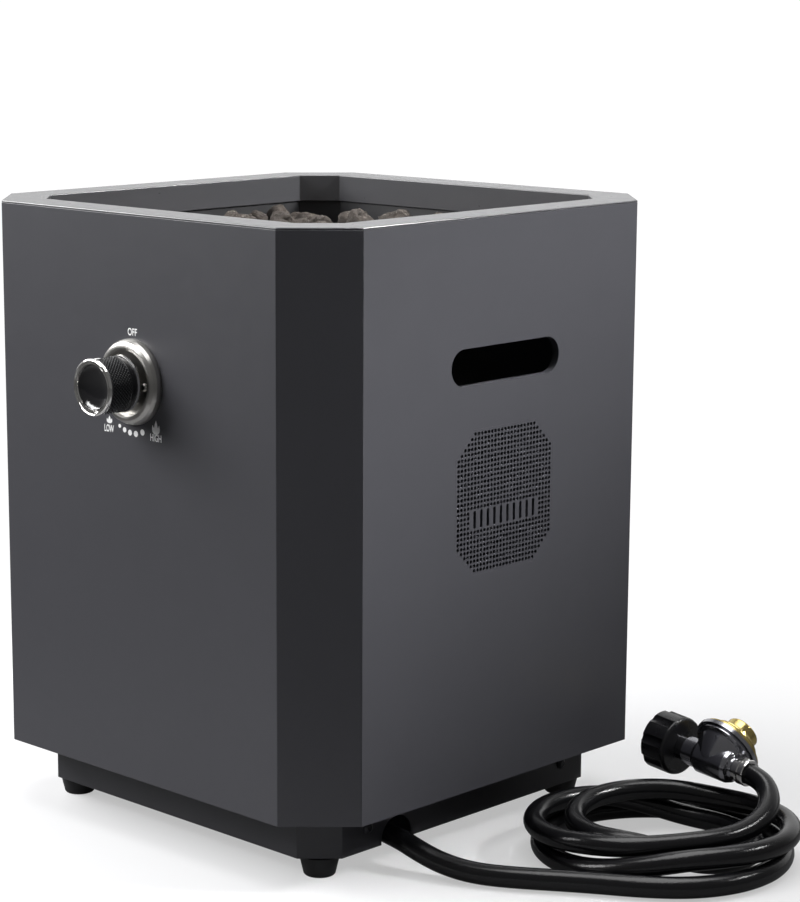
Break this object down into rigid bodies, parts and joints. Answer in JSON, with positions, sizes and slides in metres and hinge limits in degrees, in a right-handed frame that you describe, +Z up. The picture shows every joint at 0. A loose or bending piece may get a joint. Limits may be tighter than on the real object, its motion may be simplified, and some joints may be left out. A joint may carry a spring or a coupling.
{
  "type": "tabletop gas fire pit",
  "caption": "Tall octagonal tabletop gas fire pit with a lava-rock bowl, round control knob, handle slots, vents and a coiled gas hose with its regulator.",
  "frame": {"origin": "on the ground, under the middle of the outline of casing and knob; the casing stands 19.8 mm behind it along +Y", "axes": "+X to the side that the hose comes out of, -Y to the front with the knob, +Z up"},
  "size_m": [0.584, 0.4246, 0.479],
  "materials": {
    "case_paint": "satin dark grey powder coat",
    "rim_paint": "satin light grey powder coat",
    "base_paint": "satin charcoal powder coat",
    "galvanised": "dull zinc-coated sheet",
    "stainless": "brushed stainless steel",
    "chrome": "bright chrome plating",
    "dark_chrome": "dark polished zinc casting",
    "brass": "gold-coloured passivated brass",
    "plain_brass": "plain turned brass",
    "grip_black": "knurled black plastic",
    "gloss_black": "glossy black plastic",
    "nut_black": "black moulded nylon",
    "rubber": "black rubber",
    "hose_rubber": "smooth black gas hose",
    "lava": "rough dark lava rock",
    "cast_alloy": "cast aluminium"
  },
  "bodies": {
    "casing": {"front_wrap": "case_paint", "rear_wrap": "case_paint", "right_side": "case_paint", "left_side": "case_paint", "right_vent": "case_paint", "left_vent": "case_paint", "top_rim": "rim_paint", "floor_flange": "base_paint", "base_skirt": "base_paint", "bottom_plate": "base_paint", "foot_front_left": "rubber", "foot_front_right": "rubber", "foot_rear_left": "rubber", "foot_rear_right": "rubber", "foot_screws": "stainless", "wall_screws": "stainless", "fire_bowl": "stainless", "heat_shield": "galvanised", "shield_bolts": "stainless", "burner": "stainless", "burner_pipe": "stainless", "burner_nut": "plain_brass", "air_mixer": "cast_alloy", "gas_jet": "plain_brass", "lava_rocks": "lava", "valve_body": "plain_brass", "valve_bracket": "galvanised", "neck_nut": "stainless", "return_spring": "stainless", "control_bezel": "stainless", "bezel_screws": "stainless", "inlet_fitting": "plain_brass", "inlet_sleeve": "stainless", "hose_inner": "hose_rubber", "hose_clip": "galvanised", "clip_bolt": "stainless", "gas_pipe": "cast_alloy", "hose_coil": "hose_rubber", "hose_lead": "hose_rubber", "hose_tail": "hose_rubber", "hose_ferrule": "chrome", "regulator_body": "dark_chrome", "diaphragm": "rubber", "regulator_cover": "brass", "regulator_cap": "brass", "regulator_spring": "stainless", "inlet_nipple": "plain_brass"},
    "push_carrier": {"push_washer": "stainless"},
    "knob": {"valve_stem": "plain_brass", "knob_grip": "grip_black", "knob_rear_ring": "chrome", "knob_front_ring": "chrome", "knob_cap": "gloss_black"},
    "nut": {"hand_nut": "nut_black"}
  },
  "joints": [
    {"name": "knob_push", "type": "slide", "parent": "casing", "child": "push_carrier", "axis": [0, 1, 0], "range_m": [0, 0.004], "stiffness_N_per_m": 900, "springref_m": -0.002, "deforming": ["return_spring"]},
    {"name": "knob_turn", "type": "hinge", "parent": "push_carrier", "child": "knob", "pos_m": [0, -0.19, 0.356], "axis": [0, -1, 0], "range_deg": [0, 218]},
    {"name": "nut_spin", "type": "hinge", "parent": "casing", "child": "nut", "pos_m": [0.23649, 0.17189, 0.0585], "axis": [-0.9934, 0.0919, 0.0681], "continuous": true}
  ]
}
